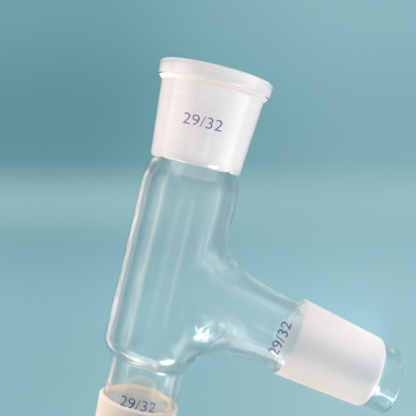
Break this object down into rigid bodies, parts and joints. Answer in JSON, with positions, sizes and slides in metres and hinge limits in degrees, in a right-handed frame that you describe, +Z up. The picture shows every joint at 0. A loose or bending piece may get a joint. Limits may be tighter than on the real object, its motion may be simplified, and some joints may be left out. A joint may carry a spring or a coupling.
{
  "type": "distillation head",
  "caption": "Three-way distillation head in borosilicate glass: a straight body with a ground socket, a ground cone below it, and a sloping side arm that ends in a second ground cone.",
  "frame": {"origin": "centre of the bounding box's footprint, on the bench that the glass lies on", "axes": "+Y along the body towards the socket's mouth (within 2 degrees), +X on the side that the arm leaves from, +Z up from the bench"},
  "size_m": [0.1114, 0.1632, 0.0414],
  "materials": {
    "clear_glass": "clear, fire-polished borosilicate glass",
    "ground_glass": "matt white ground zone of a joint",
    "enamel_print": "thin blue-violet enamel marking"
  },
  "bodies": {
    "root": {"glass_head": "clear_glass"}
  },
  "joints": []
}
